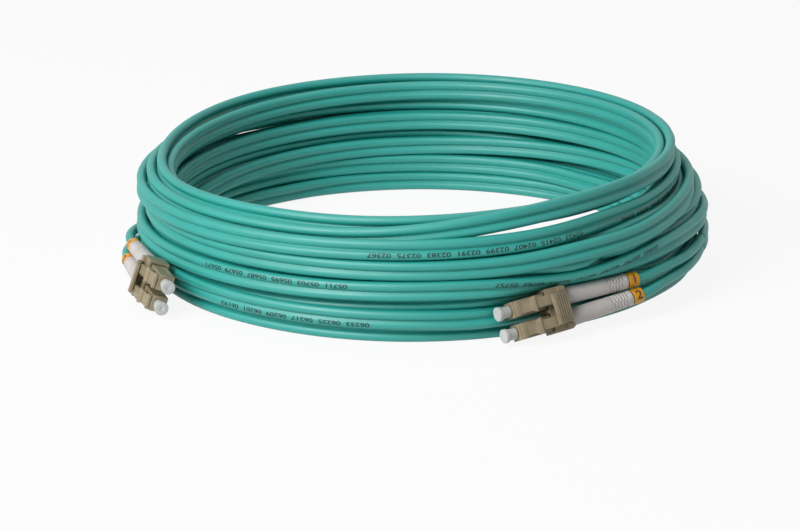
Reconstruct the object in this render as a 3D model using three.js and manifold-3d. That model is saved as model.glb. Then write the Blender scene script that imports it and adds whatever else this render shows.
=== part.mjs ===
// Duplex fibre optic patch cord: a coiled figure-8 zipcord with a duplex connector on each end.
// Millimetres, +Z up, standing on z = 0. The coil's axis is vertical.
import * as THREE from 'three';
import { mergeVertices } from 'three/addons/utils/BufferGeometryUtils.js';
import Module from 'manifold-3d';

const wasm = await Module();
wasm.setup();

// ---------------------------------------------------------------- driving dimensions

const GAP = 0.3;                  // clearance between neighbouring solids

// Cord: two round cords side by side, joined by a web.
const CORD_R = 1.4;               // radius of one round cord
const ZIP_WIDTH = 5.7;            // width over both cords
const CORD_SIDES = 8;

// Coil: one ring standing for all the turns.
const COIL_INNER_R = 72;
const COIL_FOOT_R = 80.8;         // outer radius of the lowest turns
const COIL_OUTER_R = 84.2;        // outer radius of the turns above them
const COIL_FOOT_HEIGHT = 15.2;
const COIL_HEIGHT = 38.5;
const COIL_EDGE = 2.6;            // chamfer at the ring's edges
const COIL_SEGMENTS = 72;
const POCKET_REACH = 62.5;        // the lowest turns give way behind each connector and its legs
const POCKET_HALF = 8;
const COIL_CENTRE = [1.8, 0.8];   // puts the origin under the middle of the whole part

// Connector, along x from the front face of its two plugs (+x is towards the socket).
const PLUG_PITCH = 6.25;
const PLUG_SIZE = 4.5;
const PLUG_LENGTH = 16.5;
const NECK_SIZE = 4.1;            // the plug's rear, inside the clip
const CLIP_LENGTH = 5.9;
const CLIP_WIDTH = 12.4;
const CLIP_HEIGHT = 6;
const POST_Y = 5.3;               // posts on the clip, either side of the trigger's root
const POST_LENGTH = 2.2;
const POST_HEIGHT = 1;
const BORE_R = 1.7;
const FRONT_WALL = 2.4;
const FERRULE_R = 0.625;
const FERRULE_TIP = 3.4;
const FERRULE_TRAVEL = 1;         // how far a socket pushes the ferrule back
const FLANGE_R = 1.4;
const FLANGE_LENGTH = 3;
const SPRING_LENGTH = 4.6;
const SPRING_R = 1.1;
const SPRING_WIRE_R = 0.17;
const SPRING_TURNS = 5;
const BACKBONE_TAIL_R = 1.1;
const BUFFER_R = 0.45;
const FLANGE_FRONT = -FRONT_WALL - 0.5;
const FLANGE_REAR = FLANGE_FRONT - FLANGE_LENGTH;
const FERRULE_REAR = FLANGE_REAR + 0.8;
const SPRING_FRONT = FLANGE_REAR - 0.5;
const BACKBONE_FRONT = SPRING_FRONT - SPRING_LENGTH - 0.5;
const BACKBONE_HEAD = 4;
const BACKBONE_TAIL = 3.6;        // how far it stands out of the plug's rear
const CRIMP_LENGTH = 7.8;
const CRIMP_R = 1.7;
const CRIMP_REAR = -8.4;          // from the boot's front
const CAP_TIP = 4.2;
const CAP_DISC_R = 2.05;
const CAP_COLLAR_R = 1.65;
const CAP_DISC = 1.2;
const BOOT_LENGTH = 21.5;
const BOOT_FRONT_R = 2.55;
const BOOT_REAR_R = 2.2;
const BOOT_GROOVES = 5;
const GROOVE_PITCH = 1.25;
const GROOVE_DEPTH = 0.3;
const CORD_BORE_R = CORD_R + 0.35;
const RING_LENGTH = 3.4;
const RING_R = 2.15;
const TOE_IN = THREE.MathUtils.degToRad(1.9);   // the two boots lean together

// Latch and trigger are drawn round their pivots, which stand here in x and z.
const LATCH_PIVOT = [-1.5, 2.9];
const LATCH_LENGTH = 9.6;            // from the pivot to the free end
const LATCH_WIDTH = 2.6;
const LATCH_NECK_WIDTH = 3.4;         // wider ahead of the locking shoulders
const TRIGGER_PIVOT = [-16.2, 3.75];
const TRIGGER_WIDTH = 8.6;
const TRIGGER_RIBS = 5;
const RIB_PITCH = 0.9;

// Both connectors stand on their narrow edge with the latches outwards, and lean on the coil by lean
// degrees. Connector a's boots are held up off the surface by rise degrees. Upper is the side of the
// connector, along its y, that lies uppermost and carries plug 1.
const CONNECTORS = [
  { end: 'a', place: [24.9, -81.0, 6.2], yaw: 212, rise: 4.5, lean: 25, upper: -1 },
  { end: 'b', place: [-72.7, -58.5, 6.9], yaw: -73.7, rise: 0, lean: 19, upper: 1 },
];

// Routes of the loose stretches: [degrees round the coil, distance from its axis, height].
const LEG_ROUTES = {
  a1: [[-37, 84.3, 12.4], [-29, 84.3, 12.4], [-21.5, 83.6, 12.1], [-15, 82.9, 11.73]],
  a2: [[-37, 85.2, 8.7], [-29, 84.9, 9.1], [-21.5, 83.8, 9.0], [-15, 82.9, 8.87]],
  b1: [[183, 85.6, 8.4], [172, 84.2, 6.2], [162, 82.9, 4.33]],
  b2: [[183, 86.6, 3.9], [172, 84.9, 2.2], [162, 82.9, 1.47]],
};
const TAIL_ROUTES = {
  a: [[-14.6, 82.9, 10.3], [0, 82.8, 8.6], [15, 82.8, 6.6], [30, 82.7, 4.5], [45, 82.6, 2.9]],
  b: [[161.6, 82.9, 2.9], [150, 82.8, 2.9], [135, 82.8, 2.9], [120, 82.7, 2.9], [105, 82.6, 2.9]],
};

// ---------------------------------------------------------------- finishes

const FINISHES = {
  aquaJacket: { color: '#54b2a5', roughness: 0.5, metalness: 0 },
  beigePlastic: { color: '#a39b86', roughness: 0.45, metalness: 0 },
  whiteRubber: { color: '#d9dade', roughness: 0.55, metalness: 0 },
  whiteCap: { color: '#eef0f2', roughness: 0.4, metalness: 0 },
  yellowRing: { color: '#f2b520', roughness: 0.45, metalness: 0 },
  zirconia: { color: '#f4f2ec', roughness: 0.2, metalness: 0 },
  steel: { color: '#b9bcc0', roughness: 0.35, metalness: 1 },
  brass: { color: '#c6a15c', roughness: 0.35, metalness: 1 },
  whiteBuffer: { color: '#f2f0e6', roughness: 0.5, metalness: 0 },
};

function piece(name, geometry, finish, [x, z] = [0, 0]) {
  const mesh = new THREE.Mesh(geometry, new THREE.MeshStandardMaterial(FINISHES[finish]));
  mesh.name = name;
  mesh.position.set(x, 0, z);
  return mesh;
}

// ---------------------------------------------------------------- solids

function toSolid(geometry) {
  const bare = geometry.clone();
  bare.deleteAttribute('normal');
  bare.deleteAttribute('uv');
  const welded = mergeVertices(bare, 1e-4);
  return new wasm.Manifold(new wasm.Mesh({
    numProp: 3,
    vertProperties: new Float32Array(welded.attributes.position.array),
    triVerts: new Uint32Array(welded.index.array),
  }));
}

function toGeometry(solid) {
  const mesh = solid.getMesh();
  const geometry = new THREE.BufferGeometry();
  geometry.setAttribute('position', new THREE.BufferAttribute(mesh.vertProperties, 3));
  geometry.setIndex(new THREE.BufferAttribute(mesh.triVerts, 1));
  return geometry;
}

function block(x0, x1, y0, y1, z0, z1) {
  const geometry = new THREE.BoxGeometry(x1 - x0, y1 - y0, z1 - z0);
  return geometry.translate((x0 + x1) / 2, (y0 + y1) / 2, (z0 + z1) / 2);
}

// Turned about the x axis. The profile is a closed loop of [x, radius], or starts and ends on the axis.
function turned(profile, segments) {
  const points = profile.map(([x, r]) => new THREE.Vector2(r, x));
  if (profile[0][1] > 0) {
    points.push(points[0].clone());
  }
  return new THREE.LatheGeometry(points, segments).rotateZ(-Math.PI / 2);
}

function sleeve(x0, x1, outer, inner, segments) {
  return turned([[x0, inner], [x0, outer], [x1, outer], [x1, inner]], segments);
}

// A side view in x and z, given as a loop of points, with a width across y.
function slab(points, width) {
  const shape = new THREE.Shape(points.map(([x, z]) => new THREE.Vector2(x, z)));
  const geometry = new THREE.ExtrudeGeometry(shape, { depth: width, bevelEnabled: false });
  return geometry.rotateX(Math.PI / 2).translate(0, width / 2, 0);
}

function swept(section, points, steps) {
  const path = new THREE.CatmullRomCurve3(points);
  return new THREE.ExtrudeGeometry(section, { steps, bevelEnabled: false, extrudePath: path });
}

function roundSection(radius, sides, cx = 0) {
  const points = [];
  for (let i = 0; i < sides; i += 1) {
    const turn = (2 * Math.PI * i) / sides;
    points.push(new THREE.Vector2(cx + radius * Math.cos(turn), radius * Math.sin(turn)));
  }
  return new THREE.Shape(points);
}

// Figure-8 section of the zipcord, long side along the shape's x.
function zipSection() {
  const offset = ZIP_WIDTH / 2 - CORD_R;
  const points = [];
  for (const side of [1, -1]) {
    for (let i = -3; i <= 3; i += 1) {
      const turn = THREE.MathUtils.degToRad(48 * i) + (side > 0 ? 0 : Math.PI);
      points.push(new THREE.Vector2(side * offset + CORD_R * Math.cos(turn), CORD_R * Math.sin(turn)));
    }
  }
  return new THREE.Shape(points);
}

function aroundCoil([degrees, radius, height]) {
  const turn = THREE.MathUtils.degToRad(degrees);
  return new THREE.Vector3(radius * Math.cos(turn), radius * Math.sin(turn), height);
}

// ---------------------------------------------------------------- simplex plug

// The housing: a square tube with a closed-in front, a slimmer neck behind, open at the rear.
function plugHousing() {
  const half = PLUG_SIZE / 2;
  const neck = NECK_SIZE / 2;
  const front = -PLUG_LENGTH + CLIP_LENGTH + GAP;
  let solid = toSolid(block(front, 0, -half, half, -half, half));
  solid = solid.add(toSolid(block(-PLUG_LENGTH, front + 0.5, -neck, neck, -neck, neck)));
  const bore = [
    [-PLUG_LENGTH - 1, 0], [-PLUG_LENGTH - 1, BORE_R], [-FRONT_WALL, BORE_R],
    [-FRONT_WALL, FERRULE_R + 0.4], [1, FERRULE_R + 0.4], [1, 0],
  ];
  solid = solid.subtract(toSolid(turned(bore, 16)));
  const keyway = block(-5.6, -2.2, -1.5, 1.5, half - 0.25, half + 1);
  return toGeometry(solid.subtract(toSolid(keyway)));
}

// The latch: a springy tongue rooted at the front, with a locking shoulder on both sides.
// Points are x and z from its pivot.
function latch() {
  const tongue = slab([
    [1.0, -0.35], [1.0, 0.4], [-0.5, 0.6], [-LATCH_LENGTH, 2.15], [-LATCH_LENGTH, 1.4], [-0.5, -0.25],
  ], LATCH_WIDTH);
  const neck = slab([
    [0.9, -0.3], [0.9, 0.4], [-0.5, 0.6], [-3, 1.0], [-3, 0.2], [-0.5, -0.2],
  ], LATCH_NECK_WIDTH);
  const shoulder = slab([[-2.8, 0.45], [-2.8, 1.25], [-4.6, 1.9], [-4.6, 0.75]], PLUG_SIZE);
  const root = slab([[1.3, -0.35], [1.3, 0.4], [-0.4, 0.6], [-0.4, -0.25]], PLUG_SIZE - GAP);
  return toGeometry(toSolid(tongue).add(toSolid(neck)).add(toSolid(shoulder)).add(toSolid(root)));
}

function ferrule() {
  return turned([
    [FERRULE_REAR, 0], [FERRULE_REAR, FERRULE_R], [FERRULE_TIP - 0.2, FERRULE_R],
    [FERRULE_TIP, FERRULE_R - 0.2], [FERRULE_TIP, 0],
  ], 14);
}

// The flange: a metal collar holding the ferrule, with a keyed head.
function flange() {
  const seat = FERRULE_REAR - GAP;
  const stemR = 1.2;
  return turned([
    [FLANGE_REAR, BUFFER_R + GAP], [FLANGE_REAR, stemR], [FLANGE_FRONT - 1.6, stemR],
    [FLANGE_FRONT - 1.3, FLANGE_R], [FLANGE_FRONT, FLANGE_R], [FLANGE_FRONT, FERRULE_R + GAP],
    [seat, FERRULE_R + GAP], [seat, BUFFER_R + GAP],
  ], 12);
}

class SpringPath extends THREE.Curve {
  getPoint(t, target = new THREE.Vector3()) {
    const turn = 2 * Math.PI * SPRING_TURNS * t;
    return target.set(-SPRING_LENGTH * t, SPRING_R * Math.cos(turn), SPRING_R * Math.sin(turn));
  }
}

function spring() {
  const section = roundSection(SPRING_WIRE_R, 5);
  const steps = SPRING_TURNS * 9;
  const geometry = new THREE.ExtrudeGeometry(section, {
    steps, bevelEnabled: false, extrudePath: new SpringPath(),
  });
  return geometry.translate(SPRING_FRONT, 0, 0);
}

// The backbone closes the spring in, and its tail is what the crimp sleeve grips.
function backbone() {
  const shoulder = BACKBONE_FRONT - BACKBONE_HEAD;
  const rear = -PLUG_LENGTH - BACKBONE_TAIL;
  const bore = BUFFER_R + GAP;
  return turned([
    [rear, bore], [rear, BACKBONE_TAIL_R], [shoulder, BACKBONE_TAIL_R], [shoulder, BORE_R - GAP],
    [BACKBONE_FRONT, BORE_R - GAP], [BACKBONE_FRONT, bore],
  ], 12);
}

// The dust cap: a round cap with a wider disc at its end and a blind bore over the ferrule.
function dustCap() {
  const bore = FERRULE_R + GAP;
  return turned([
    [GAP, bore], [GAP, CAP_COLLAR_R], [CAP_TIP - CAP_DISC, CAP_COLLAR_R], [CAP_TIP - CAP_DISC, CAP_DISC_R],
    [CAP_TIP - 0.25, CAP_DISC_R], [CAP_TIP, CAP_DISC_R - 0.25], [CAP_TIP, 0], [FERRULE_TIP + GAP, 0],
    [FERRULE_TIP + GAP, bore], [GAP, bore],
  ], 16);
}

// ---------------------------------------------------------------- rear of a plug
// Along x from the boot's front.

function crimpSleeve() {
  return sleeve(CRIMP_REAR, CRIMP_REAR + CRIMP_LENGTH, CRIMP_R, BACKBONE_TAIL_R + GAP, 12);
}

// The boot: a soft tapered sleeve over the crimp, with grooves near its rear so that it bends.
function boot() {
  const taper = (BOOT_FRONT_R - BOOT_REAR_R) / BOOT_LENGTH;
  const profile = [[-BOOT_LENGTH, CORD_BORE_R], [-BOOT_LENGTH, BOOT_REAR_R - GAP]];
  profile.push([-BOOT_LENGTH + 0.4, BOOT_REAR_R]);
  for (let i = 0; i < BOOT_GROOVES; i += 1) {
    const middle = -BOOT_LENGTH + 2.2 + i * GROOVE_PITCH;
    const surface = BOOT_REAR_R + taper * (BOOT_LENGTH + middle);
    profile.push([middle - 0.4, surface], [middle, surface - GROOVE_DEPTH], [middle + 0.4, surface]);
  }
  profile.push([-1, BOOT_FRONT_R], [0, BOOT_FRONT_R], [0, CRIMP_R + GAP]);
  profile.push([CRIMP_REAR - GAP, CRIMP_R + GAP], [CRIMP_REAR - GAP, CORD_BORE_R]);
  return turned(profile, 14);
}

function numberRing() {
  const front = -BOOT_LENGTH - GAP;
  return sleeve(front - RING_LENGTH, front, RING_R, CORD_BORE_R, 16);
}

// The buffered fibre, from the ferrule back to where the round cord starts.
function bufferedFibre() {
  const front = FERRULE_REAR - GAP - 0.2;
  const rear = -PLUG_LENGTH + CRIMP_REAR + FERRULE_TRAVEL;
  return turned([[rear, 0], [rear, BUFFER_R], [front, BUFFER_R], [front, 0]], 8);
}

// ---------------------------------------------------------------- duplex clip and trigger

// The clip: one block round both plug necks, with a post at each end of its top.
function duplexClip() {
  const hole = NECK_SIZE / 2 + GAP;
  let solid = toSolid(block(-PLUG_LENGTH, -PLUG_LENGTH + CLIP_LENGTH, -CLIP_WIDTH / 2, CLIP_WIDTH / 2,
    -CLIP_HEIGHT / 2, CLIP_HEIGHT / 2));
  for (const side of [-1, 1]) {
    const y = (side * PLUG_PITCH) / 2;
    const cut = block(-PLUG_LENGTH - 1, -PLUG_LENGTH + CLIP_LENGTH + 1, y - hole, y + hole, -hole, hole);
    solid = solid.subtract(toSolid(cut));
    const post = block(-PLUG_LENGTH, -PLUG_LENGTH + POST_LENGTH, side * POST_Y - 0.6, side * POST_Y + 0.6,
      CLIP_HEIGHT / 2 - 0.5, CLIP_HEIGHT / 2 + POST_HEIGHT);
    solid = solid.add(toSolid(post));
  }
  return toGeometry(solid);
}

// The trigger: a sprung thumb bar with cross ribs, whose tip lies over both latches.
// Points are x and z from its pivot.
function trigger() {
  const points = [[-0.4, -0.4], [-0.4, 0.55]];
  for (let i = 0; i < TRIGGER_RIBS; i += 1) {
    const x = i * RIB_PITCH;
    const z = 1.15 + i * 0.29;
    points.push([x, z], [x + 0.52, z + 0.17], [x + 0.57, z - 0.06], [x + 0.85, z + 0.03]);
  }
  points.push([4.6, 2.6], [5.6, 2.5], [5.6, 1.6], [4.6, 1.6], [0.8, 0]);
  return slab(points, TRIGGER_WIDTH);
}

// ---------------------------------------------------------------- one end of the cord

function buildPlug(tag, y) {
  const plug = new THREE.Group();
  plug.position.y = y;
  plug.add(piece(`plug_housing_${tag}`, plugHousing(), 'beigePlastic'));
  plug.add(piece(`latch_${tag}`, latch(), 'beigePlastic', LATCH_PIVOT));
  plug.add(piece(`ferrule_${tag}`, ferrule(), 'zirconia'));
  plug.add(piece(`ferrule_flange_${tag}`, flange(), 'steel'));
  plug.add(piece(`ferrule_spring_${tag}`, spring(), 'steel'));
  plug.add(piece(`backbone_${tag}`, backbone(), 'beigePlastic'));
  plug.add(piece(`buffered_fibre_${tag}`, bufferedFibre(), 'whiteBuffer'));
  plug.add(piece(`dust_cap_${tag}`, dustCap(), 'whiteCap'));
  const rear = new THREE.Group();
  rear.position.x = -PLUG_LENGTH - GAP;
  rear.rotation.z = Math.sign(y) * TOE_IN;
  rear.add(piece(`crimp_sleeve_${tag}`, crimpSleeve(), 'brass'));
  rear.add(piece(`boot_${tag}`, boot(), 'whiteRubber'));
  rear.add(piece(`number_ring_${tag}`, numberRing(), 'yellowRing'));
  const legStart = new THREE.Object3D();
  legStart.position.x = CRIMP_REAR - 0.4;
  const legExit = new THREE.Object3D();
  legExit.position.x = -BOOT_LENGTH - GAP - RING_LENGTH - 1;
  rear.add(legStart, legExit);
  rear.userData = { legStart, legExit };
  plug.add(rear);
  plug.userData.rear = rear;
  return plug;
}

const cord = new THREE.Group();
cord.position.set(COIL_CENTRE[0], COIL_CENTRE[1], 0);
const zipWay = zipSection();
const legWay = roundSection(CORD_R, CORD_SIDES);
const pockets = [];

for (const { end, place, yaw, rise, lean, upper } of CONNECTORS) {
  const connector = new THREE.Group();
  connector.position.set(...place);
  connector.rotation.order = 'ZYX';
  connector.rotation.set(...[upper * (90 - lean), rise, yaw].map(THREE.MathUtils.degToRad));
  connector.add(piece(`duplex_clip_${end}`, duplexClip(), 'beigePlastic'));
  connector.add(piece(`trigger_${end}`, trigger(), 'beigePlastic', TRIGGER_PIVOT));
  for (const number of [1, 2]) {
    const tag = `${end}${number}`;
    const side = number === 1 ? upper : -upper;
    const plug = buildPlug(tag, (side * PLUG_PITCH) / 2);
    connector.add(plug);
    connector.updateMatrixWorld(true);
    const { legStart, legExit } = plug.userData.rear.userData;
    const points = [legStart, legExit].map((mark) => mark.getWorldPosition(new THREE.Vector3()));
    points.push(...LEG_ROUTES[tag].map(aroundCoil));
    cord.add(piece(`cord_leg_${tag}`, swept(legWay, points, 14), 'aquaJacket'));
  }
  cord.add(connector);
  cord.add(piece(`cord_tail_${end}`, swept(zipWay, TAIL_ROUTES[end].map(aroundCoil), 14), 'aquaJacket'));
  const pocket = block(-POCKET_REACH, CAP_TIP + 1.4, -POCKET_HALF, POCKET_HALF, -CLIP_HEIGHT / 2 - 0.4, 12);
  pockets.push(pocket.applyMatrix4(connector.matrixWorld));
}

// ---------------------------------------------------------------- the coil

function coil() {
  const profile = [
    [COIL_INNER_R + COIL_EDGE, 0], [COIL_FOOT_R - COIL_EDGE, 0], [COIL_FOOT_R, COIL_EDGE],
    [COIL_FOOT_R, COIL_FOOT_HEIGHT], [COIL_OUTER_R, COIL_FOOT_HEIGHT + 2],
    [COIL_OUTER_R, COIL_HEIGHT - 2 * COIL_EDGE], [COIL_OUTER_R - 2 * COIL_EDGE, COIL_HEIGHT],
    [COIL_INNER_R + COIL_EDGE, COIL_HEIGHT], [COIL_INNER_R, COIL_HEIGHT - COIL_EDGE],
    [COIL_INNER_R, COIL_EDGE], [COIL_INNER_R + COIL_EDGE, 0],
  ];
  const ring = new THREE.LatheGeometry(profile.map(([r, z]) => new THREE.Vector2(r, z)), COIL_SEGMENTS);
  let solid = toSolid(ring.rotateX(Math.PI / 2));
  for (const pocket of pockets) {
    solid = solid.subtract(toSolid(pocket));
  }
  return toGeometry(solid);
}

cord.add(piece('cord_coil', coil(), 'aquaJacket'));

export default cord;
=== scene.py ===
import math
import bmesh
import bpy
import numpy as np
from mathutils import Matrix, Vector


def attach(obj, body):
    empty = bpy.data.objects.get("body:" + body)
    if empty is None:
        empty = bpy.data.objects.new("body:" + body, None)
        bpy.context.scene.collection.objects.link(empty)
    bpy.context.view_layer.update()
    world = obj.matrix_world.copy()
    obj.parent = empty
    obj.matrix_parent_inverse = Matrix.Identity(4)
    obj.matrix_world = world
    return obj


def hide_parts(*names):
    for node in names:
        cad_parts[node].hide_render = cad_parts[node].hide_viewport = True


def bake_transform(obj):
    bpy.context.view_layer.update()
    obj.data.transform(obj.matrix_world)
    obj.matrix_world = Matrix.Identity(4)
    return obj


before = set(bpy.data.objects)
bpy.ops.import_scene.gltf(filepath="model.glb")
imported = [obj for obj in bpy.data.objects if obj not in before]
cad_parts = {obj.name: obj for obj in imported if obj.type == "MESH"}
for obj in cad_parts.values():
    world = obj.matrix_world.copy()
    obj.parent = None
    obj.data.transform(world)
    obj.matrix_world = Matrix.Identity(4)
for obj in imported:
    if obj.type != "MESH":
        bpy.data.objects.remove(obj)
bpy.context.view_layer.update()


# ---- view -------------------------------------------------------------------------------------
# The cord is seen from the front and a little above, from a metre away through a long lens.
coil_centre = Vector((0.0018, 0.0008, 0.0))
view_rise = math.radians(17.0)
view_distance = 1.0526
view_aim = Vector((-0.00618, 0.95559, -0.29465))


def set_out(name, data):
    """An object for a mesh, a curve, a lamp or a lens, put in the scene."""
    made = bpy.data.objects.new(name, data)
    bpy.context.scene.collection.objects.link(made)
    return made


lens = bpy.data.cameras.new("view")
lens.sensor_width = 36.0
lens.lens = 160.16
lens.clip_start = 0.05
camera = set_out("view", lens)
camera.location = coil_centre + view_distance * Vector((0.0, -math.cos(view_rise), math.sin(view_rise)))
camera.rotation_euler = view_aim.to_track_quat("-Z", "Y").to_euler()
bpy.context.scene.camera = camera


# ---- jacket of the cords ----------------------------------------------------------------------
# Low smoke jacket in aqua, extruded, with a satin skin: faint streaks along the cord, slightly
# uneven colour and an uneven gloss. The streaks and the grain follow the piece's own map.
class Wire:
    """The output of a node, which sums and products with plain numbers or other outputs extend."""

    def __init__(self, board, socket):
        self.board = board
        self.socket = socket

    def worked(self, operation, first, second):
        maths = self.board.node("ShaderNodeMath", {"operation": operation}, {0: first, 1: second})
        return self.board.wire(maths, "Value")

    def __add__(self, other):
        return self.worked("ADD", self, other)

    def __radd__(self, other):
        return self.worked("ADD", other, self)

    def __mul__(self, other):
        return self.worked("MULTIPLY", self, other)

    def __rmul__(self, other):
        return self.worked("MULTIPLY", other, self)


class Board:
    """A tree of nodes under way, each made from its type, its settings and what its sockets take."""

    def __init__(self, tree):
        self.tree = tree

    def feed(self, socket, value):
        if isinstance(value, Wire):
            self.tree.links.new(value.socket, socket)
        else:
            socket.default_value = value

    def node(self, kind, settings=None, sockets=None):
        made = self.tree.nodes.new(kind)
        for name, value in (settings or {}).items():
            setattr(made, name, value)
        for name, value in (sockets or {}).items():
            self.feed(made.inputs[name], value)
        return made

    def wire(self, node, output):
        return Wire(self, node.outputs[output])

    def spread(self, value, to_low, to_high, low=0.3, high=0.7):
        """A value carried over to a new range; a noise keeps mostly to the range that it has by default."""
        made = self.node("ShaderNodeMapRange", {}, {
            "Value": value, "From Min": low, "From Max": high, "To Min": to_low, "To Max": to_high,
        })
        return self.wire(made, "Result")


class Finish(Board):
    """A material under way, whose skin is the shader that its nodes feed."""

    def __init__(self, name, **constants):
        self.material = bpy.data.materials.new(name)
        self.material.use_nodes = True
        super().__init__(self.material.node_tree)
        self.skin = self.tree.nodes["Principled BSDF"]
        for socket, value in constants.items():
            self.skin.inputs[socket.replace("_", " ")].default_value = value

    def give(self, quality, value):
        self.feed(self.skin.inputs[quality], value)

    def noise(self, coordinates, stretch):
        """An uneven pattern on a piece's Object or UV coordinates, each multiplied by its stretch."""
        coords = self.wire(self.node("ShaderNodeTexCoord"), coordinates)
        mapping = self.node("ShaderNodeMapping", {}, {"Vector": coords, "Scale": stretch})
        pattern = {"Vector": self.wire(mapping, "Vector"), "Scale": 1.0, "Detail": 3.0}
        return self.wire(self.node("ShaderNodeTexNoise", {}, pattern), "Fac")

    def mixed(self, factor, first, second):
        made = self.node("ShaderNodeMix", {"data_type": "RGBA"}, {0: factor, 6: first, 7: second})
        return self.wire(made, 2)

    def bump(self, height, strength, distance):
        made = self.node("ShaderNodeBump", {}, {"Height": height, "Strength": strength, "Distance": distance})
        return self.wire(made, "Normal")


def rgb(code, alpha=1.0):
    """A colour from its hex code, as the linear values that shaders take."""
    levels = [int(code[i:i + 2], 16) / 255 for i in (0, 2, 4)]
    return tuple(c / 12.92 if c < 0.04045 else ((c + 0.055) / 1.055) ** 2.4 for c in levels) + (alpha,)


# How often the patterns repeat in a metre along a cord and in one turn round it.
streak_repeats = (30.0, 3.0, 1.0)
grain_repeats = (400.0, 40.0, 1.0)
blotches_per_metre = 60.0


def jacket_finish():
    aqua = Finish("aqua_jacket", Specular_IOR_Level=1.0)
    streaks = aqua.noise("UV", streak_repeats)
    blotches = aqua.noise("Object", (blotches_per_metre,) * 3)
    tone = aqua.spread(streaks, 0.0, 0.6) + aqua.spread(blotches, 0.0, 0.4)
    aqua.give("Base Color", aqua.mixed(tone, rgb("06958a"), rgb("1ba39a")))
    aqua.give("Roughness", aqua.spread(blotches, 0.46, 0.6))
    aqua.give("Normal", aqua.bump(aqua.noise("UV", grain_repeats), 0.1, 0.0001))
    return aqua.material


aqua_jacket = jacket_finish()


# ---- duplex cord ------------------------------------------------------------------------------
# Two round cords joined side by side by a thin web, nearly ten metres of it, wound by hand into a
# ring of nineteen and a half turns that stand on edge, about three deep and six high. It is loose:
# turns cross, lean and leave gaps. Distances are in millimetres until a mesh is made.
cord_radius = 1.4
lobe_offset = 1.45
web_half = 0.3
steps_per_turn = 120

# Where each turn passes at the right, the back, the left and the front of the ring: how far from
# the ring's middle and how high, in the order in which the cord was laid.
turn_places = (
    ((82.8, 2.9), (79.0, 2.9), (75.4, 5.6), (77.0, 8.6)),
    ((77.5, 8.2), (76.4, 8.6), (76.2, 11.3), (77.0, 14.4)),
    ((78.6, 13.8), (79.4, 14.4), (79.3, 12.8), (79.8, 17.3)),
    ((77.1, 19.2), (79.4, 20.2), (79.4, 18.8), (82.7, 21.2)),
    ((77.5, 25.5), (82.3, 23.0), (82.2, 24.0), (82.7, 27.2)),
    ((73.3, 30.3), (79.4, 26.0), (79.2, 27.0), (79.8, 28.7)),
    ((71.6, 35.2), (78.0, 33.8), (76.2, 28.8), (77.0, 32.0)),
    ((68.8, 34.3), (74.0, 32.2), (73.4, 27.5), (77.0, 25.4)),
    ((71.7, 23.6), (73.6, 22.5), (73.4, 19.8), (74.0, 23.0)),
    ((70.4, 29.0), (76.6, 28.3), (76.4, 22.8), (79.8, 23.2)),
    ((74.6, 24.4), (76.4, 22.6), (76.4, 17.0), (77.0, 20.1)),
    ((80.5, 21.8), (82.3, 17.3), (82.2, 13.0), (82.7, 15.1)),
    ((81.8, 16.5), (82.3, 11.5), (81.2, 7.0), (82.7, 7.0)),
    ((77.6, 8.6), (79.4, 8.6), (78.3, 8.0), (79.8, 11.5)),
    ((75.7, 12.8), (76.4, 16.8), (73.4, 14.0), (74.0, 17.2)),
    ((74.2, 18.2), (73.4, 14.2), (70.5, 11.0), (74.0, 11.5)),
    ((74.6, 7.4), (73.4, 8.6), (73.2, 8.4), (74.0, 5.8)),
    ((73.7, 2.9), (73.4, 2.9), (72.4, 2.9), (77.0, 2.9)),
    ((76.6, 2.9), (76.4, 2.9), (78.3, 2.9), (80.6, 2.9)),
    ((79.3, 2.9), (82.4, 2.9)),
)
place_bearings = (0.0, 90.0, 180.0, 266.0)
turns = len(turn_places)

# Where a turn crosses others or stands off them it is held in more places: bearing, distance, height.
crossing_places = {
    3: (
        (140.0, 79.4, 19.0), (300.0, 82.3, 21.3), (315.0, 81.0, 22.3),
        (325.0, 80.8, 23.9), (333.0, 80.0, 26.0),
    ),
    4: ((140.0, 82.5, 25.2), (285.0, 82.5, 27.6), (300.0, 78.8, 27.3), (312.0, 76.6, 27.4)),
    5: (
        (140.0, 79.4, 27.2), (276.0, 80.2, 32.2), (286.0, 79.4, 34.5),
        (300.0, 77.2, 35.6), (316.0, 74.7, 35.7),
    ),
    6: (
        (140.0, 77.6, 32.6), (276.0, 76.6, 33.0), (286.0, 75.4, 33.2),
        (300.0, 73.7, 33.2), (316.0, 71.4, 33.3),
    ),
    7: ((140.0, 73.6, 29.7), (286.0, 75.8, 24.0), (305.0, 74.6, 23.4)),
    8: ((140.0, 73.4, 20.7), (286.0, 73.0, 22.4), (305.0, 72.0, 22.8), (325.0, 71.0, 25.4)),
    9: ((140.0, 76.5, 27.3), (290.0, 78.6, 23.0)),
    10: ((140.0, 76.4, 19.2),),
    11: ((300.0, 82.3, 17.3), (317.0, 82.2, 18.3), (330.0, 82.1, 18.9), (342.0, 82.1, 18.7)),
    16: ((300.0, 70.6, 3.0), (320.0, 69.4, 3.0), (340.0, 71.4, 3.0)),
    17: ((285.0, 75.0, 2.9), (302.0, 72.8, 2.9), (320.0, 72.2, 2.9), (340.0, 74.2, 2.9)),
    18: ((280.0, 78.8, 2.9), (300.0, 76.0, 2.9), (320.0, 75.2, 2.9), (340.0, 77.2, 2.9)),
    19: ((12.0, 79.8, 2.9), (25.0, 82.2, 2.9), (45.0, 82.5, 2.9), (70.0, 82.4, 2.9)),
}

# Both ends run along the outside of the ring, one over the last turn and one on the table: bearing,
# distance and height.
tail_a = (
    (-14.6, 82.9, 10.3), (0.0, 82.8, 9.6), (15.0, 82.4, 9.2), (30.0, 81.0, 8.6), (45.0, 79.9, 5.6),
    (58.0, 79.6, 2.9),
)
tail_b = ((105.0, 82.6, 2.9), (120.0, 82.7, 2.9), (135.0, 82.8, 2.9), (150.0, 82.8, 2.9), (161.6, 82.9, 2.9))

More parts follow.
